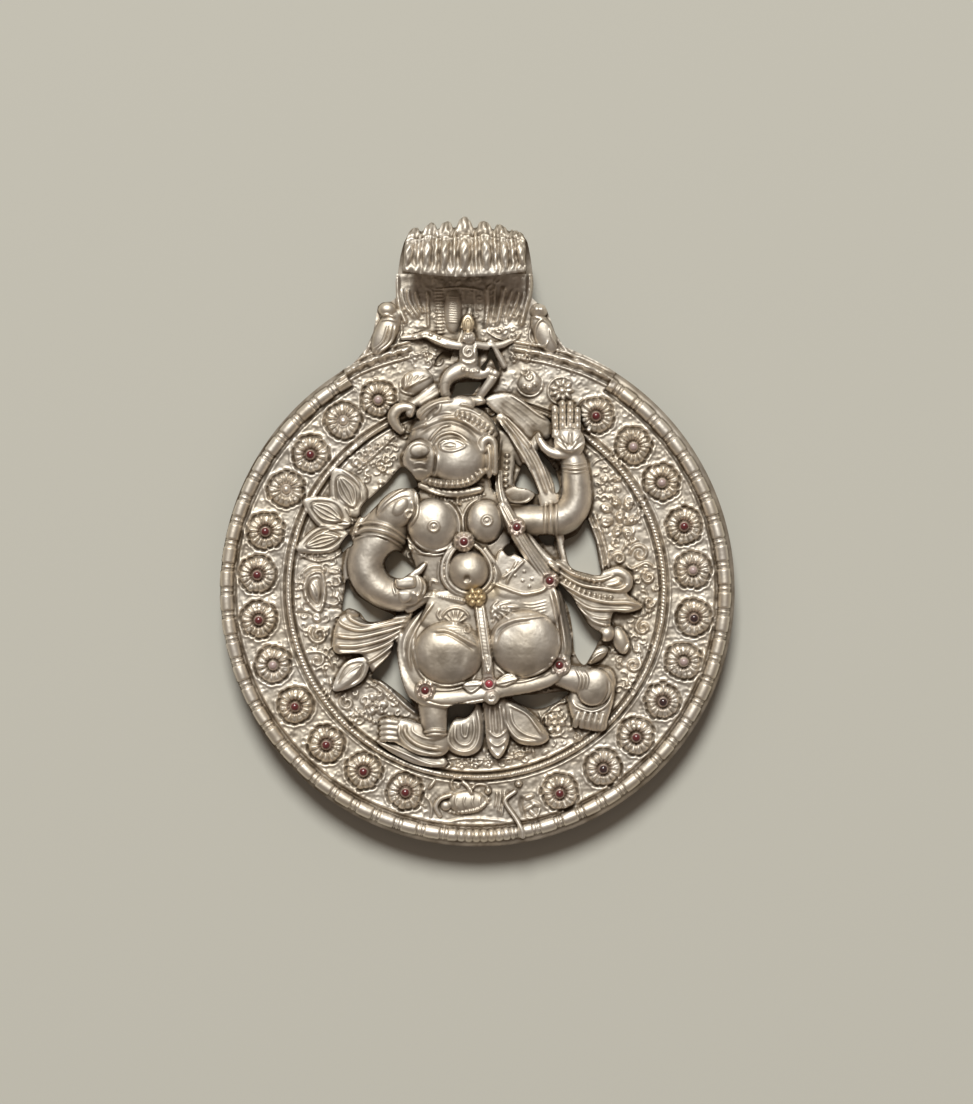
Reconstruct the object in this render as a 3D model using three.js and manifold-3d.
// A cast and chased silver plaque: a boar-headed dancer in a pierced round field, inside a
// border of jewelled rosettes, with a hood of seven serpent heads that curls forward as its hook.
// Millimetres. It is modelled face up, with x across, y up the plaque and z out of its face.
// The group at the end turns the face to -y and sets the origin on the hook's crown.
import * as THREE from "three";
import { mergeVertices } from "three/addons/utils/BufferGeometryUtils.js";
import Module from "manifold-3d";

const wasm = await Module();
wasm.setup();

// Driving dimensions
const discRadius = 62;
const flangeDepth = 1;
const plateDepth = 2.4;
const underside = 1;
const beadRingRadius = 59.7;
const beadRadius = 2;
const beadCount = 62;
const beadProud = 2;
const reelProud = 1.2;
const beadGap = { from: 58, to: 121 };
const cordRingRadius = 45.2;
const cordRingHalfWidth = 1;
const cordRingProud = 1;
const cordRingSides = 40;
const rosetteRadius = 4.6;
const rosetteLobes = 8;
const rosetteProud = 1.1;
const lobeDepth = 0.06;
const stoneRadius = 1;
const stoneProud = 0.8;
const stoneClearance = 0.3;
// The rosettes from the top down each side, set out by eye: direction in degrees, distance
const leftRosettes = [
  [117.6, 51.5], [128.5, 51.9], [141, 51.7], [152.4, 51.9], [164.6, 52.9], [176.1, 53.1],
  [187.9, 53.1], [200.2, 52.4], [212.6, 52.1], [225.7, 52.1], [237.9, 51.6], [250.4, 51.7],
];
const rightRosettes = [
  [55.7, 50.6], [42.6, 50.9], [30.2, 51.3], [17.1, 52], [5.2, 52], [-7.4, 52.5],
  [-19.2, 52.5], [-31.1, 52.1], [-42.9, 52.1], [-54.9, 52.6], [-68, 52.8],
];
const plainRosettes = ["left_02", "left_04"];
const hoodLeft = -17.9;
const hoodRight = 12.1;
const crownHeight = 83.6;
const crownFront = 8.7;
const crownBack = 4.7;
const curlRadius = 6.7;
const curlCentre = { up: 80.5, proud: 6.7 };
const lipLow = 76.2;
const lipThickness = 2.2;
const channelLow = 75;
const channelBack = 2.2;
const sheetLow = 76.5;
const sunk = 0.4;
const weld = 1e-4;
const silverColour = 0xb5ab9c;
const garnetColour = 0x5a1420;

// A closed geometry as a solid, with its shared corners merged and its flat triangles dropped.
function solidFrom(geometry) {
  const bare = geometry.clone();
  bare.deleteAttribute("normal");
  bare.deleteAttribute("uv");
  const merged = mergeVertices(bare, weld);
  const corners = merged.index.array;
  const faces = [];
  for (let i = 0; i < corners.length; i += 3) {
    const [a, b, c] = corners.slice(i, i + 3);
    if (a !== b && b !== c && c !== a) {
      faces.push(a, b, c);
    }
  }
  const vertProperties = new Float32Array(merged.attributes.position.array);
  const triVerts = new Uint32Array(faces);
  return new wasm.Manifold(new wasm.Mesh({ numProp: 3, vertProperties, triVerts }));
}

function geometryFrom(solid) {
  const mesh = solid.getMesh();
  const geometry = new THREE.BufferGeometry();
  geometry.setAttribute("position", new THREE.BufferAttribute(mesh.vertProperties, 3));
  geometry.setIndex(new THREE.BufferAttribute(mesh.triVerts, 1));
  geometry.computeVertexNormals();
  return geometry;
}

// The outer skin alone: the hollows that the forms would enclose between them are filled.
function outerSkin(geometry) {
  const corners = geometry.index.array;
  const parent = Array.from({ length: geometry.attributes.position.count }, (_, i) => i);
  const root = (i) => {
    while (parent[i] !== i) {
      parent[i] = parent[parent[i]];
      i = parent[i];
    }
    return i;
  };
  for (let i = 0; i < corners.length; i += 3) {
    parent[root(corners[i])] = root(corners[i + 1]);
    parent[root(corners[i + 1])] = root(corners[i + 2]);
  }
  const faces = new Map();
  for (let i = 0; i < corners.length; i += 3) {
    const skin = root(corners[i]);
    faces.set(skin, [...(faces.get(skin) ?? []), corners[i], corners[i + 1], corners[i + 2]]);
  }
  const skins = [...faces.values()].sort((a, b) => b.length - a.length);
  geometry.setIndex(skins[0]);
  return mergeVertices(geometry, weld / 10);
}

function join(solids) {
  return solids.reduce((whole, solid) => whole.add(solid));
}

// A rounded mass: its centre, its three half sizes, and the turn of its length in the plane.
function ball([x, y, z], [across, up, proud], turn = 0, [around, rings] = [7, 4]) {
  const geometry = new THREE.SphereGeometry(1, around, rings);
  geometry.rotateX(Math.PI / 2);
  geometry.scale(across, up, proud);
  geometry.rotateZ(THREE.MathUtils.degToRad(turn));
  geometry.translate(x, y, z);
  return solidFrom(geometry);
}

// A limb, fold or ridge: a capped tube on a smooth curve through stations [x, y, z, radius].
function rod(stations, { sides = 4, flat = 1 } = {}) {
  const curve = new THREE.CatmullRomCurve3(stations.map(([x, y, z]) => new THREE.Vector3(x, y, z)));
  const spans = stations.length - 1;
  const geometry = new THREE.CylinderGeometry(1, 1, 1, sides, spans);
  const place = geometry.attributes.position;
  const outward = new THREE.Vector3(0, 0, 1);
  for (let i = 0; i < place.count; i += 1) {
    const t = THREE.MathUtils.clamp(place.getY(i) + 0.5, 0, 1);
    const radius = stations[Math.round(t * spans)][3];
    const along = curve.getTangent(t);
    const side = along.clone().cross(outward).normalize();
    const front = side.clone().cross(along);
    const point = curve.getPoint(t);
    point.addScaledVector(side, radius * place.getX(i));
    point.addScaledVector(front, radius * flat * place.getZ(i));
    place.setXYZ(i, point.x, point.y, point.z);
  }
  return solidFrom(geometry);
}

// A low round boss with a flat top, such as a flower that holds a stone.
function boss([x, y, z], radius, height = 2.4) {
  const geometry = new THREE.CylinderGeometry(radius * 0.6, radius, height, 8);
  geometry.rotateX(Math.PI / 2);
  geometry.translate(x, y, z - height / 2);
  return solidFrom(geometry);
}

// A flat piece of the given outline, from the underside to a height.
function slab(outline, top) {
  const shape = new THREE.Shape(outline.map(([x, y]) => new THREE.Vector2(x, y)));
  const geometry = new THREE.ExtrudeGeometry(shape, { depth: top + underside, bevelEnabled: false });
  geometry.translate(0, 0, -underside);
  return solidFrom(geometry);
}

// A closed smooth outline through a few points, with a set number of steps in all.
function smooth(points, steps) {
  const flatPoints = points.map(([x, y]) => new THREE.Vector3(x, y, 0));
  const curve = new THREE.CatmullRomCurve3(flatPoints, true);
  return Array.from({ length: steps }, (_, i) => {
    const point = curve.getPoint(i / steps);
    return [point.x, point.y];
  });
}

// A leaf: a flattened tube that swells between its root and its tip.
function leaf(root, tip, width, proud) {
  const deep = plateDepth - sunk;
  const at = (share) => [0, 1].map((k) => root[k] + share * (tip[k] - root[k]));
  const stations = [
    [...root, deep, width * 0.4],
    [...at(0.4), deep, width],
    [...at(0.75), deep, width * 0.8],
    [...tip, deep, width * 0.15],
  ];
  return rod(stations, { flat: proud / width });
}

function onRing(radius, degrees) {
  const angle = THREE.MathUtils.degToRad(degrees);
  return [radius * Math.cos(angle), radius * Math.sin(angle)];
}

// The round plate, with its sloping flange and the bead and reel moulding on its rim, and the
// tongue that carries the hood. The moulding stops where the tongue joins.
function plate() {
  const profile = [
    [0, -underside],
    [discRadius, -underside],
    [discRadius, flangeDepth],
    [beadRingRadius, plateDepth + beadProud],
    [beadRingRadius - beadRadius, plateDepth],
    [0, plateDepth],
  ];
  const disc = new THREE.LatheGeometry(profile.map(([r, z]) => new THREE.Vector2(r, z)), 2 * beadCount);
  disc.rotateX(Math.PI / 2);
  const place = disc.attributes.position;
  for (let i = 0; i < place.count; i += 1) {
    const degrees = THREE.MathUtils.radToDeg(Math.atan2(place.getY(i), place.getX(i)));
    const station = Math.round((degrees / 180) * beadCount);
    const onCrest = place.getZ(i) > plateDepth + reelProud;
    if (onCrest) {
      const stopped = degrees > beadGap.from && degrees < beadGap.to;
      const proud = station % 2 === 0 ? beadProud : reelProud;
      place.setZ(i, plateDepth + (stopped ? -sunk / 4 : proud));
    }
  }
  const left = [[-40, 44], [-32.9, 51.9], [-29.4, 54.9], [-26.9, 57.9], [-25.1, 61.9], [-24.2, 67.6]];
  const leftHead = [[-23.2, 69], [-19.6, 69.7], [-19.6, 73.9], [-18.4, 81]];
  const rightHead = [[12.5, 81], [13.4, 75.5], [13, 69.6], [15.6, 68.8], [17.3, 65.5]];
  const right = [[18.7, 61.7], [20.4, 59], [22.3, 56.9], [26.3, 54.4], [32.3, 51.4], [40, 44]];
  return solidFrom(disc).add(slab([...left, ...leftHead, ...rightHead, ...right], plateDepth));
}

// The piercings of the field, each by the outline that shows between the forms.
function piercings() {
  const outlines = [
    [[-18, 29.5], [-22, 25.5], [-27, 21], [-28.2, 19], [-27.2, 17.5], [-22, 22.5], [-14.5, 25]],
    [[-30.5, 13.2], [-30, 11], [-32.5, 9], [-33, 10.5]],
    [[-31.5, 2], [-30, -0.5], [-25, -4], [-20, -6.5], [-28.5, -6], [-32.6, -4.8]],
    [[-19.5, -12], [-25.5, -21], [-23, -21.5], [-15, -28.3], [-18.5, -22], [-19.5, -16]],
    [[-22.3, 6], [-21.5, 8], [-19.5, 9.2], [-17, 7.5], [-15, 5.2], [-16.5, 3.8], [-20, 2.8]],
    [[11, 30.2], [12.2, 29], [14.6, 23], [12, 24.2], [9, 25]],
    [[14.8, 33.3], [17, 31], [19, 28], [19.8, 24.5], [18.6, 24.5], [17.6, 28], [15.6, 31]],
    [[26.2, 16.8], [27.5, 14], [29, 7], [29.5, 3.5], [22.5, 5.2], [20.8, 11.5]],
    [[15, 12.8], [18.3, 12.8], [17.8, 11], [16.5, 10.7]],
    [[19.8, 1], [24.5, -5], [29.8, -10.8], [29, -13], [26, -18.5], [23.2, -15], [22.8, -10], [21.5, -4]],
    [[6.3, 9.5], [7.7, 8.1], [9.1, 9.5], [7.7, 10.9]],
    [[-6.6, -28], [-1, -28], [-1.5, -30], [-4, -30.5], [-6.8, -33.5]],
    [[8.5, -26], [21.5, -24.8], [16, -29], [11.5, -28.4]],
    [[-10.3, 54.3], [-9.4, 56.4], [-8, 57.2], [-6.4, 57], [-6.4, 55.6], [-8.4, 55.9]],
    [[3.2, 58], [5.2, 52.8], [4.6, 52.8], [3.3, 55], [1.8, 52.8], [0.8, 52.8]],
    [[-4.5, 49.8], [0.8, 49.8], [-1.2, 46.8], [-6.2, 46.8]],
  ];
  const deep = 2 * plateDepth;
  return join(outlines.map((outline) => slab(outline, deep)));
}

// The two ridges that run from the rim to the foot of the hood.
function shoulderRidges() {
  const leftRun = [[-33, 50.6, 2.8, 1.5], [-28, 53, 2.8, 1.3], [-23, 55.2, 2.8, 1.2], [-17.5, 57.6, 2.6, 1]];
  const rightRun = [[31.5, 50.4, 2.8, 1.5], [25, 53, 2.8, 1.3], [16, 56.5, 2.8, 1.2], [8, 58.2, 2.6, 1]];
  return join([rod(leftRun), rod(rightRun)]);
}

// The raised cord between the field and the border.
function cordRing() {
  const halfWidth = cordRingHalfWidth * (1 + sunk / cordRingProud);
  const points = [
    new THREE.Vector2(cordRingRadius - halfWidth, plateDepth - sunk),
    new THREE.Vector2(cordRingRadius + halfWidth, plateDepth - sunk),
    new THREE.Vector2(cordRingRadius, plateDepth + cordRingProud),
    new THREE.Vector2(cordRingRadius - halfWidth, plateDepth - sunk),
  ];
  const ring = new THREE.LatheGeometry(points, cordRingSides);
  ring.rotateX(Math.PI / 2);
  return solidFrom(ring);
}

// One rosette: a low lobed cone, with its stone over its point.
function rosette([x, y], turn) {
  const top = plateDepth + rosetteProud;
  const profile = [
    [0, plateDepth - sunk],
    [rosetteRadius, plateDepth - sunk],
    [0, top],
  ];
  const cone = new THREE.LatheGeometry(profile.map(([r, z]) => new THREE.Vector2(r, z)), 2 * rosetteLobes);
  cone.rotateX(Math.PI / 2);
  const place = cone.attributes.position;
  for (let i = 0; i < place.count; i += 1) {
    const angle = Math.atan2(place.getY(i), place.getX(i));
    const share = 1 + lobeDepth * Math.cos(rosetteLobes * angle);
    place.setX(i, place.getX(i) * share);
    place.setY(i, place.getY(i) * share);
  }
  cone.rotateZ(turn);
  cone.translate(x, y, 0);
  return solidFrom(cone);
}

function rosettePlaces() {
  const places = [];
  for (const [side, run] of [["left", leftRosettes], ["right", rightRosettes]]) {
    run.forEach(([degrees, distance], i) => {
      const place = `${side}_${String(i + 1).padStart(2, "0")}`;
      const at = onRing(distance, degrees);
      places.push({ at, degrees, name: `stone_rosette_${place}`, jewelled: !plainRosettes.includes(place) });
    });
  }
  return places;
}

function rosettes() {
  const cones = rosettePlaces().map(({ at, degrees }) => rosette(at, THREE.MathUtils.degToRad(degrees)));
  const plain = rosettePlaces().filter(({ jewelled }) => !jewelled);
  const bosses = plain.map(({ at }) => ball([...at, plateDepth + 0.8], [1.2, 1.2, 1.1], 0, [6, 4]));
  return join([...cones, ...bosses]);
}

// Small creatures and leaves in the border, above and below the field.
function borderFigures() {
  const creature = [
    [-12.5, -51, 2.4, 1.3],
    [-7, -49.6, 2.6, 2.1],
    [0, -49.2, 2.6, 1.9],
    [7, -50.6, 2.6, 1.7],
    [9.6, -55.5, 2.3, 0.8],
  ];
  return join([
    rod(creature),
    leaf([11.5, -50], [16, -53], 1.6, 1),
    ball([-14.5, 50, 2.4], [4, 2.8, 1.6], 20),
    ball([12.5, 49.8, 2.4], [2.8, 2.6, 1.8]),
    leaf([18.5, 46.5], [23, 49.5], 1.8, 1.2),
  ]);
}

// The hood: one curled sheet in profile, pulled across, with seven heads over it.
function hood() {
  const front = curlCentre.proud + curlRadius;
  const curl = new THREE.Shape();
  curl.moveTo(sheetLow, sunk / 2);
  curl.lineTo(curlCentre.up, 0);
  curl.absarc(curlCentre.up, curlCentre.proud, curlRadius, -Math.PI / 2, Math.PI / 2, false);
  curl.lineTo(lipLow, front - 0.4);
  curl.lineTo(lipLow, front - lipThickness);
  curl.lineTo(crownHeight - 1, crownFront);
  curl.lineTo(crownHeight - 1, crownBack);
  curl.lineTo(sheetLow, plateDepth - sunk / 4);
  const depth = hoodRight - hoodLeft;
  const sheet = new THREE.ExtrudeGeometry(curl, { depth, bevelEnabled: false, curveSegments: 6 });
  sheet.applyMatrix4(alongHood(hoodLeft));
  const heads = [[-16.2, 86.9], [-12.2, 88], [-8, 88.6], [-3.1, 89.5], [1.9, 88.6], [5.8, 87.6], [9.8, 85.6]];
  const raised = heads.map(([x, tip]) => {
    const stations = [[x, 76.4, 12.2, 1.6], [x, 80.4, 12.6, 2.3], [x, 84.6, 10.6, 2], [x, tip, 6.4, 0.5]];
    return rod(stations);
  });
  return join([solidFrom(sheet), ...raised]);
}

// A profile drawn as [up, proud] becomes a form that runs across the plaque from its left end.
function alongHood(left) {
  return new THREE.Matrix4().set(0, 0, 1, left, 1, 0, 0, 0, 0, 1, 0, 0, 0, 0, 0, 1);
}

// The ribs of the hood's sheet, below the curl.
function hoodRibs() {
  const ribs = [
    [[-18, 73], [-15.8, 65]],
    [[-11.5, 72], [-11.4, 62]],
    [[-8.9, 72.5], [-8.7, 61.5]],
    [[-5.8, 71.5], [-5.8, 62.5]],
    [[2.4, 73.5], [1.9, 63]],
    [[4.9, 73.5], [3.6, 64]],
    [[7.6, 73], [5.6, 64]],
    [[10.9, 71.5], [8.8, 64]],
  ];
  const raised = ribs.map(([top, foot]) => rod([[...top, 2.2, 1], [...foot, 2.2, 1.1]]));
  return join(raised);
}

// The channel under the curl, through which the plaque hangs.
function channel() {
  const front = curlCentre.proud + curlRadius - lipThickness;
  const outline = [
    [channelLow, channelBack],
    [curlCentre.up, channelBack],
    [crownHeight, crownBack],
    [crownHeight, crownFront],
    [curlCentre.up, front],
    [channelLow, front],
  ];
  const shape = new THREE.Shape(outline.map(([up, proud]) => new THREE.Vector2(up, proud)));
  const reach = 8;
  const depth = hoodRight - hoodLeft + 2 * reach;
  const space = new THREE.ExtrudeGeometry(shape, { depth, bevelEnabled: false });
  space.applyMatrix4(alongHood(hoodLeft - reach));
  return solidFrom(space);
}

// A perched bird on each shoulder of the plate, with its tail along the edge.
function shoulderBirds() {
  return join([
    leaf([-21, 67], [-26.8, 56.4], 2.4, 2.2),
    ball([-21.4, 67, 2.8], [2.3, 1.9, 1.8]),
    leaf([14.4, 66.6], [20.4, 56.8], 2.3, 2.2),
    ball([14.8, 66.8, 2.8], [2, 1.9, 1.8]),
  ]);
}

// The small crowned figure that sits astride above the dancer.
function rider() {
  const leftArm = [[-3.4, 58.6, 4.2, 1.1], [-8, 60, 4, 1.2], [-12, 61.4, 3.4, 1.1], [-17.5, 60.4, 2.4, 1]];
  const leftLeg = [[-1.2, 52.4, 4.6, 2.4], [-5.4, 52, 5, 2], [-7.8, 49.6, 5, 1.5], [-7.4, 45.6, 4.2, 1]];
  const rightLeg = [[-1.2, 52.4, 4.6, 2.4], [3.2, 52, 4.8, 1.6], [4.2, 50.6, 4.8, 1.3], [0.6, 45.8, 4, 0.8]];
  return join([
    ball([-2.3, 63.7, 3], [1.4, 2.4, 2], 0, [6, 4]),
    ball([-2.3, 60.3, 3.8], [1.7, 1.9, 2.2]),
    ball([-2.2, 56.8, 4], [2.5, 3, 2.8]),
    rod(leftArm),
    rod([[-0.4, 58.8, 4.2, 1.1], [3.4, 58.9, 3.2, 1], [8, 60.4, 2.4, 0.9]]),
    rod([[3.4, 59, 2.8, 0.8], [6.2, 54.6, 2.4, 0.8]]),
    rod(leftLeg, { sides: 5 }),
    rod(rightLeg, { sides: 5 }),
    ball([-3, 45.6, 3.4], [3.2, 1.5, 2]),
  ]);
}

// The head, in three quarter view to the left, with its diadem, ear and beaded jaw.
function head() {
  const brow = [[-11, 35.6, 8.6, 0.8], [-7.4, 38, 9, 0.9], [-3.4, 37.2, 8.8, 0.9], [-0.6, 34.4, 8, 0.8]];
  return join([
    ball([-6, 35.4, 3], [10.6, 9.4, 7.6], 8, [9, 6]),
    ball([-4.4, 30.8, 6.2], [6, 5.6, 6.4], 0, [8, 5]),
    rod([[-8, 31.4, 5.4, 5], [-14, 31.2, 6.8, 4.5], [-16.9, 30.7, 6.8, 3.3]], { sides: 7 }),
    ball([-6.6, 34.6, 9.6], [3.3, 1.5, 1.5], 0, [6, 4]),
    rod(brow),
    rod([[-16.4, 38.4, 5.2, 1], [-11, 40.8, 7, 1.2], [-3, 41.8, 7.6, 1.3], [4.8, 36.8, 5.4, 1.2]]),
    rod([[-18, 38.4, 2.8, 1.3], [-20.2, 41.6, 3.4, 1.4], [-17.6, 44.4, 3.6, 1.4], [-15.2, 42.2, 3.6, 1.1]]),
    rod([[1.6, 35.2, 7.2, 0.8], [3.4, 36.4, 6.6, 0.9], [4.2, 28, 5.6, 0.9]]),
    rod([[-13.4, 25.8, 6.4, 0.8], [-5, 24.9, 7.4, 1], [2.6, 29.2, 6.2, 0.8]]),
  ]);
}

// The chest, belly and waist, with the ornaments that lie on them.
function torso() {
  const trunk = [[-4.8, 22, 1.4, 8], [-4.6, 14.6, 1.4, 12.6], [-3.4, 7, 1.4, 10.6], [-1.4, -3, 1.4, 9.8]];
  const round = [8, 5];
  return join([
    ball([-5.4, 23.4, 3.4], [8.4, 3.6, 5.2]),
    rod(trunk, { sides: 8, flat: 0.6 }),
    ball([-10.6, 15.6, 5.2], [5.8, 5.8, 6], 0, round),
    ball([1.8, 16.6, 5.2], [4.6, 4.8, 5.4], 0, round),
    ball([-2.2, 4.6, 6.4], [5.6, 5.3, 6.4], 0, round),
    boss([-3.2, 11.5, 10], 2.2),
    boss([-0.5, -1.9, 10.2], 2.4),
    rod([[5.6, 20.4, 6.4, 1.2], [9.2, 14.4, 6.8, 1.6], [12.6, 9.4, 6.2, 1.6], [16.6, 3.4, 5.4, 1.3]]),
    rod([[2, 0.6, 7.2, 1.1], [9, -1.6, 6.8, 1.2], [16.6, -0.4, 5.2, 0.9]]),
    boss([9.4, 15, 9], 1.9),
    boss([17.3, 2.2, 7.4], 2),
  ]);
}

// The arm that bends back to the hip.
function bentArm() {
  const arm = [
    [-19.6, 18, 4.4, 5],
    [-22.8, 12.6, 5, 5.7],
    [-26.4, 6.6, 5.4, 4.9],
    [-25.2, 2.2, 5.8, 4.3],
    [-21, -0.8, 6.4, 4],
    [-16.4, -0.8, 6.8, 3.2],
  ];
  const armlet = [[-29.4, 13.2, 6.2, 1], [-25.4, 14.6, 9.4, 1.1], [-20.4, 13.6, 9.8, 1.1], [-16.4, 11, 7, 1]];
  return join([
    ball([-19, 19, 4.4], [5.4, 4.8, 5.2], 25),
    rod(arm, { sides: 7 }),
    rod(armlet),
    ball([-15.2, 0.2, 7.6], [3, 3, 2.6]),
    rod([[-15, 2.6, 7.8, 1], [-13, 5.6, 7.4, 0.8]]),
  ]);
}

// The raised arm, with its open hand.
function raisedArm() {
  const fingers = [18.7, 20.5, 22.2, 23.9].map((x) =>
    rod([[x, 35.6, 6.6, 1], [x, 44.4, 6, 0.8]]),
  );
  const arm = [
    [5, 17, 4.4, 3.8],
    [13, 16.8, 5.2, 4],
    [20, 17.2, 5.8, 4],
    [23.4, 21, 6.2, 3.9],
    [22.6, 32.5, 6.4, 3.1],
  ];
  return join([
    rod(arm, { sides: 7 }),
    rod([[17.7, 13, 5.6, 1], [17.7, 17, 9.6, 1.1], [17.7, 20.8, 5.6, 1]]),
    ball([22.8, 29.8, 6.6], [3.9, 1.2, 3.8]),
    ball([21.6, 34.8, 5.8], [3.9, 4.4, 2.8]),
    rod([[20.6, 32.6, 6.8, 1.3], [16.8, 33.8, 6.2, 1.1], [14.6, 37.2, 5.2, 0.8]]),
    ...fingers,
  ]);
}

// The stole that falls from the head behind the raised arm, and the leaf beside the head.
function stole() {
  return join([
    rod([[6.4, 40.6, 4, 1.8], [10.6, 34.8, 4.4, 2.3], [16.6, 22.6, 4.6, 2.3]], { flat: 0.7 }),
    rod([[5.4, 36.4, 4, 1.4], [5.2, 27, 4.6, 1.4], [6.6, 20, 5, 1.3]]),
    rod([[4, 45, 2.4, 1.6], [9, 43.4, 2.6, 2.8], [17.4, 39.4, 2.2, 0.6]], { flat: 0.6 }),
    ball([9.4, 22.4, 4.8], [4.2, 2.4, 3], 15, [6, 4]),
    ball([13.8, 34.6, 3.4], [1.2, 2.2, 1.6], -20, [6, 4]),
    rod([[19.2, 13.4, 2, 1], [21.6, 4.4, 2.2, 1]]),
    rod([[-27.4, 18, 3, 1], [-30, 12.4, 3.2, 0.9], [-31.6, 1, 2.2, 0.9]]),
  ]);
}

// The flying ends of the sash, in folds to each side of the hips.
function sashes() {
  return join([
    rod([[16.6, 7, 4.4, 1.4], [23.6, 3.4, 4, 1.6], [30, 1.8, 3.4, 1.6], [35, 2.6, 3, 1.8]]),
    rod([[18.8, 3, 4, 1.4], [26, -2.2, 3.6, 1.7], [38, -4, 2.7, 0.8]]),
    rod([[23.4, -2.6, 3.4, 1], [27.2, -6.8, 3.2, 1.7], [31.2, -9, 3, 1.4]]),
    ball([31, -10.6, 3], [1.9, 1.9, 1.8], 0, [6, 4]),
    leaf([33, -8.5], [35.6, -15.5], 2.2, 1.8),
    rod([[-15.5, -6.6, 4, 1.2], [-24, -7.8, 3.6, 1.5], [-32.6, -6.8, 2.8, 1]]),
    rod([[-17, -9, 4, 1.3], [-25, -12, 3.4, 1.8], [-33.6, -13.4, 2.7, 1.3]]),
    rod([[-18.6, -11.4, 3.6, 1], [-26, -19.6, 2.8, 1.2]]),
    ball([-29.8, -5.2, 2.8], [1.6, 1.5, 1.6], 0, [6, 4]),
    leaf([-26.5, -17.5], [-34.2, -24], 2.6, 1.9),
  ]);
}

// The skirt: two full thighs, a seam between them, a rolled hem and the pleats that show below it.
function skirt() {
  const leftEdge = [[-9, 0], [-17, -8], [-19.4, -17], [-16, -26.4], [-4, -28]];
  const rightEdge = [[12, -25.4], [21, -20], [22.2, -12], [18.6, 0]];
  const hem = [
    [-16.8, -20.5, 4.4, 1.4],
    [-14.4, -25, 5.4, 1.9],
    [-8, -26.4, 5.8, 2.1],
    [0, -25.6, 6, 2.1],
    [9, -23.8, 6, 2.1],
    [17, -21.8, 5.4, 1.8],
    [21.2, -17.2, 4.6, 1.4],
  ];
  return join([
    slab(smooth([...leftEdge, ...rightEdge], 15), 6.5),
    ball([-7.6, -14.4, 4.4], [8.6, 9, 7.4], 12, [10, 6]),
    ball([11.2, -12.4, 4.4], [9, 9.4, 7.4], -8, [10, 6]),
    rod([[0.4, -3, 6.6, 1.3], [2.6, -20.6, 6.4, 1.4]]),
    rod(hem, { sides: 5 }),
    rod([[-11.4, -4, 5, 1.5], [-16.4, -11, 5, 1.9], [-16.8, -21.6, 4.8, 1.7]]),
    rod([[18.6, -2, 4.8, 1.2], [21.2, -14, 4.6, 1.3]]),
    ball([3.3, -25.2, 7.4], [2.1, 2, 2.1]),
    boss([-12.5, -24, 7.6], 2.3),
    boss([2.8, -22.4, 8.4], 2),
    boss([19.6, -18, 6.8], 2.3),
    rod([[-2.2, -22.8, 7.2, 1.2], [1.4, -22.6, 7.4, 1.4]]),
    rod([[4.2, -22, 7.4, 1.5], [9, -21.2, 6.6, 0.6]]),
    slab(smooth([[-1, -27], [-6.6, -32], [-6.8, -37.6], [-2.6, -39.8], [1.4, -37.6], [1.6, -31]], 9), 4),
    slab([[1, -26], [1.2, -36.4], [5.2, -41.2], [8.4, -36.8], [7, -26]], 4.8),
    slab(smooth([[5.4, -26], [8.4, -33.6], [12.4, -37], [17, -36.6], [15.6, -31.4], [10.6, -27]], 9), 4),
  ]);
}

// The feet, one set down sideways and one lifted behind, with their toes and soles.
function feet() {
  const leftToes = [-31.8, -33.1, -34.4, -35.7].map((y) =>
    rod([[-19, y + 0.2, 3, 0.9], [-22.8, y - 0.2, 3, 0.8]], { sides: 3 }),
  );
  const rightToes = [24, 25.6, 27.2, 28.8, 30.2].map((x, i) =>
    rod([[x, -27.6, 3.8, 1], [x - 0.5, -32 - 0.4 * Math.min(i, 4 - i), 3.6, 0.9]], { sides: 3 }),
  );
  return join([
    rod([[-10.4, -25, 4.6, 4], [-10.2, -31, 4.8, 3.6], [-10.6, -37, 4, 3.2]], { sides: 6 }),
    rod([[-9.6, -38, 3.4, 3.2], [-14.4, -37.2, 3.4, 3.6], [-20.6, -33.8, 2.6, 2.8]]),
    rod([[-14.2, -34.4, 5, 0.9], [-10.4, -33.8, 7.2, 1], [-7, -34, 5, 0.9]]),
    slab([[-24.4, -35.4], [-20, -31], [-8, -36], [-7.6, -42.4], [-13, -42], [-20, -39]], 3.2),
    rod([[20.4, -20, 4, 2.6], [24.6, -21.4, 4.4, 3.2]], { sides: 6 }),
    rod([[22.8, -18.6, 5.2, 1], [24.8, -21.2, 7.4, 1], [24.2, -24.2, 5, 0.9]]),
    ball([27.8, -24, 4.2], [4.8, 5, 4.2], 20, [8, 4]),
    slab([[24, -20], [32, -19.4], [33, -24], [32.4, -28], [30.6, -34], [24, -33], [22, -29]], 3.6),
    ...leftToes,
    ...rightToes,
  ]);
}

// The leaves, blossoms and emblems that stand on the field around the figure.
function fieldOrnament() {
  const small = [6, 4];
  return join([
    leaf([-29.5, 18], [-34.4, 27.4], 2.9, 1.8),
    leaf([-30, 17], [-40.6, 20.6], 3, 1.8),
    leaf([-29.5, 14], [-42, 9.6], 3.4, 2),
    ball([-39, -0.4, 2.4], [2.3, 3.9, 1.6], 0, small),
    ball([-35.4, 0.4, 2.4], [2, 2.6, 1], 0, small),
    ball([33.4, 17, 2.4], [2.6, 2.4, 1.3], 0, small),
    ball([36.4, 13.6, 2.4], [2, 2, 1.2], 0, small),
    ball([-24.2, -27.8, 2.4], [2.6, 2.3, 1.1], 0, small),
    ball([18.6, -32.4, 2.4], [2.5, 2.3, 1.1], 0, small),
    leaf([26.6, -14.6], [31.4, -18.6], 1.8, 1.4),
  ]);
}

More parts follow.
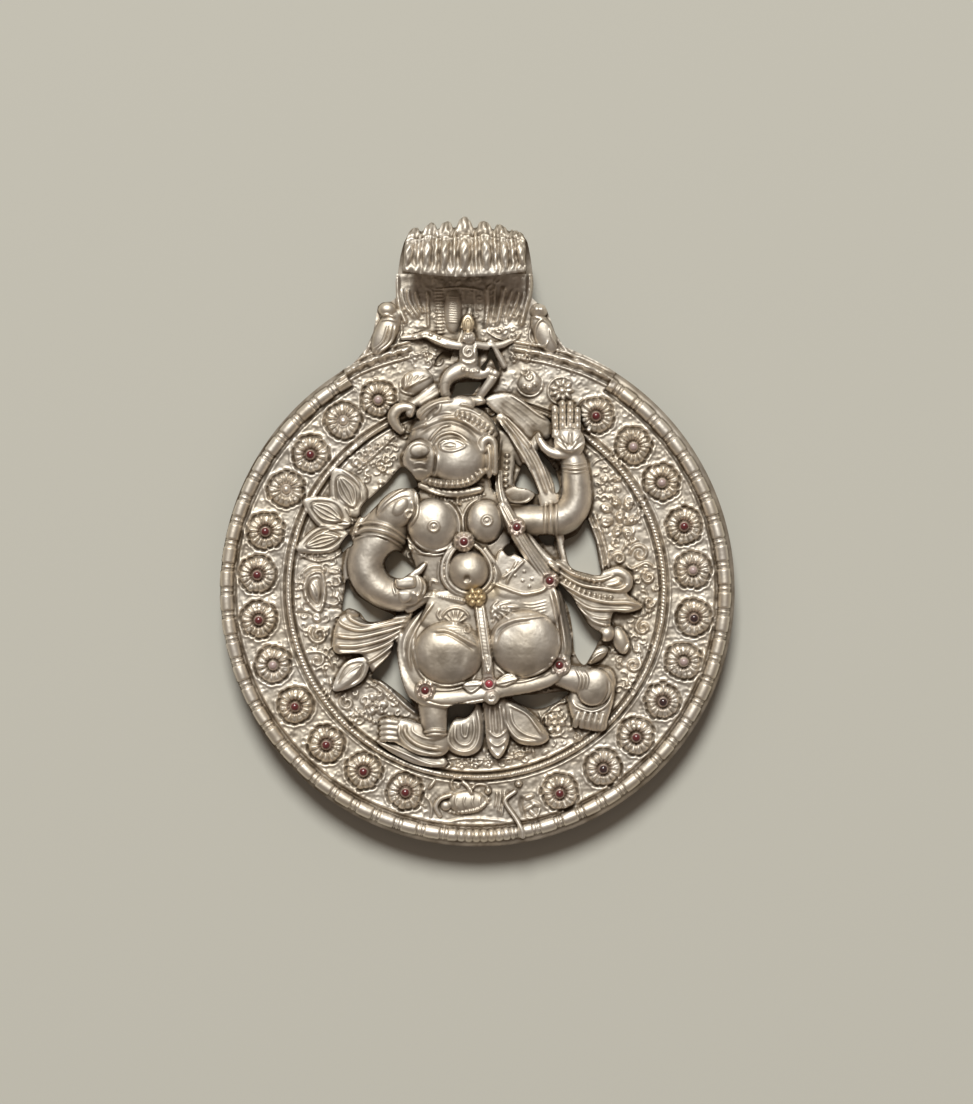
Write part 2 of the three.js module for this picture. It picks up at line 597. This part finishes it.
// Where each stone that isn't in the border lies: on the flat top of its boss.
const fieldStones = [
  ["stone_brooch", [-3.2, 11.5, 10]],
  ["stone_garland_upper", [9.4, 15, 9]],
  ["stone_garland_lower", [17.3, 2.2, 7.4]],
  ["stone_hem_left", [-12.5, -24, 7.6]],
  ["stone_hem_middle", [2.8, -22.4, 8.4]],
  ["stone_hem_right", [19.6, -18, 6.8]],
];

// A cabochon: a faceted dome on a flat base.
function stone() {
  const profile = [[0, 0], [stoneRadius, 0], [stoneRadius * 0.7, stoneProud * 0.7], [0, stoneProud]];
  const dome = new THREE.LatheGeometry(profile.map(([r, z]) => new THREE.Vector2(r, z)), 5);
  dome.rotateX(Math.PI / 2);
  return geometryFrom(solidFrom(dome));
}

function plaque() {
  const carved = join([
    plate().subtract(piercings()),
    shoulderRidges(),
    cordRing(),
    rosettes(),
    borderFigures(),
    hood(),
    hoodRibs(),
    shoulderBirds(),
    rider(),
    head(),
    torso(),
    bentArm(),
    raisedArm(),
    stole(),
    sashes(),
    skirt(),
    feet(),
    fieldOrnament(),
  ]);
  const broad = 4 * discRadius;
  const below = new THREE.BoxGeometry(broad, broad, broad);
  below.translate(0, 0, -broad / 2);
  return carved.subtract(channel().add(solidFrom(below)));
}

const silver = new THREE.MeshStandardMaterial({ color: silverColour, roughness: 0.38, metalness: 1 });
const garnet = new THREE.MeshStandardMaterial({ color: garnetColour, roughness: 0.15, metalness: 0 });

const modelled = new THREE.Group();
const body = new THREE.Mesh(outerSkin(geometryFrom(plaque())), silver);
body.name = "plaque";
modelled.add(body);

const borderStones = rosettePlaces()
  .filter(({ jewelled }) => jewelled)
  .map(({ name, at }) => [name, [...at, plateDepth + rosetteProud]]);
for (const [name, [x, y, z]] of [...borderStones, ...fieldStones]) {
  const gem = new THREE.Mesh(stone(), garnet);
  gem.name = name;
  gem.position.set(x, y, z + stoneClearance);
  modelled.add(gem);
}

const crownAcross = (hoodLeft + hoodRight) / 2;
const crownProud = (crownFront + crownBack) / 2;
const crownMiddle = new THREE.Vector3(crownAcross, crownHeight, crownProud);
modelled.position.copy(crownMiddle).negate();

const wallPlaque = new THREE.Group();
wallPlaque.add(modelled);
wallPlaque.rotation.x = Math.PI / 2;

export default wallPlaque;
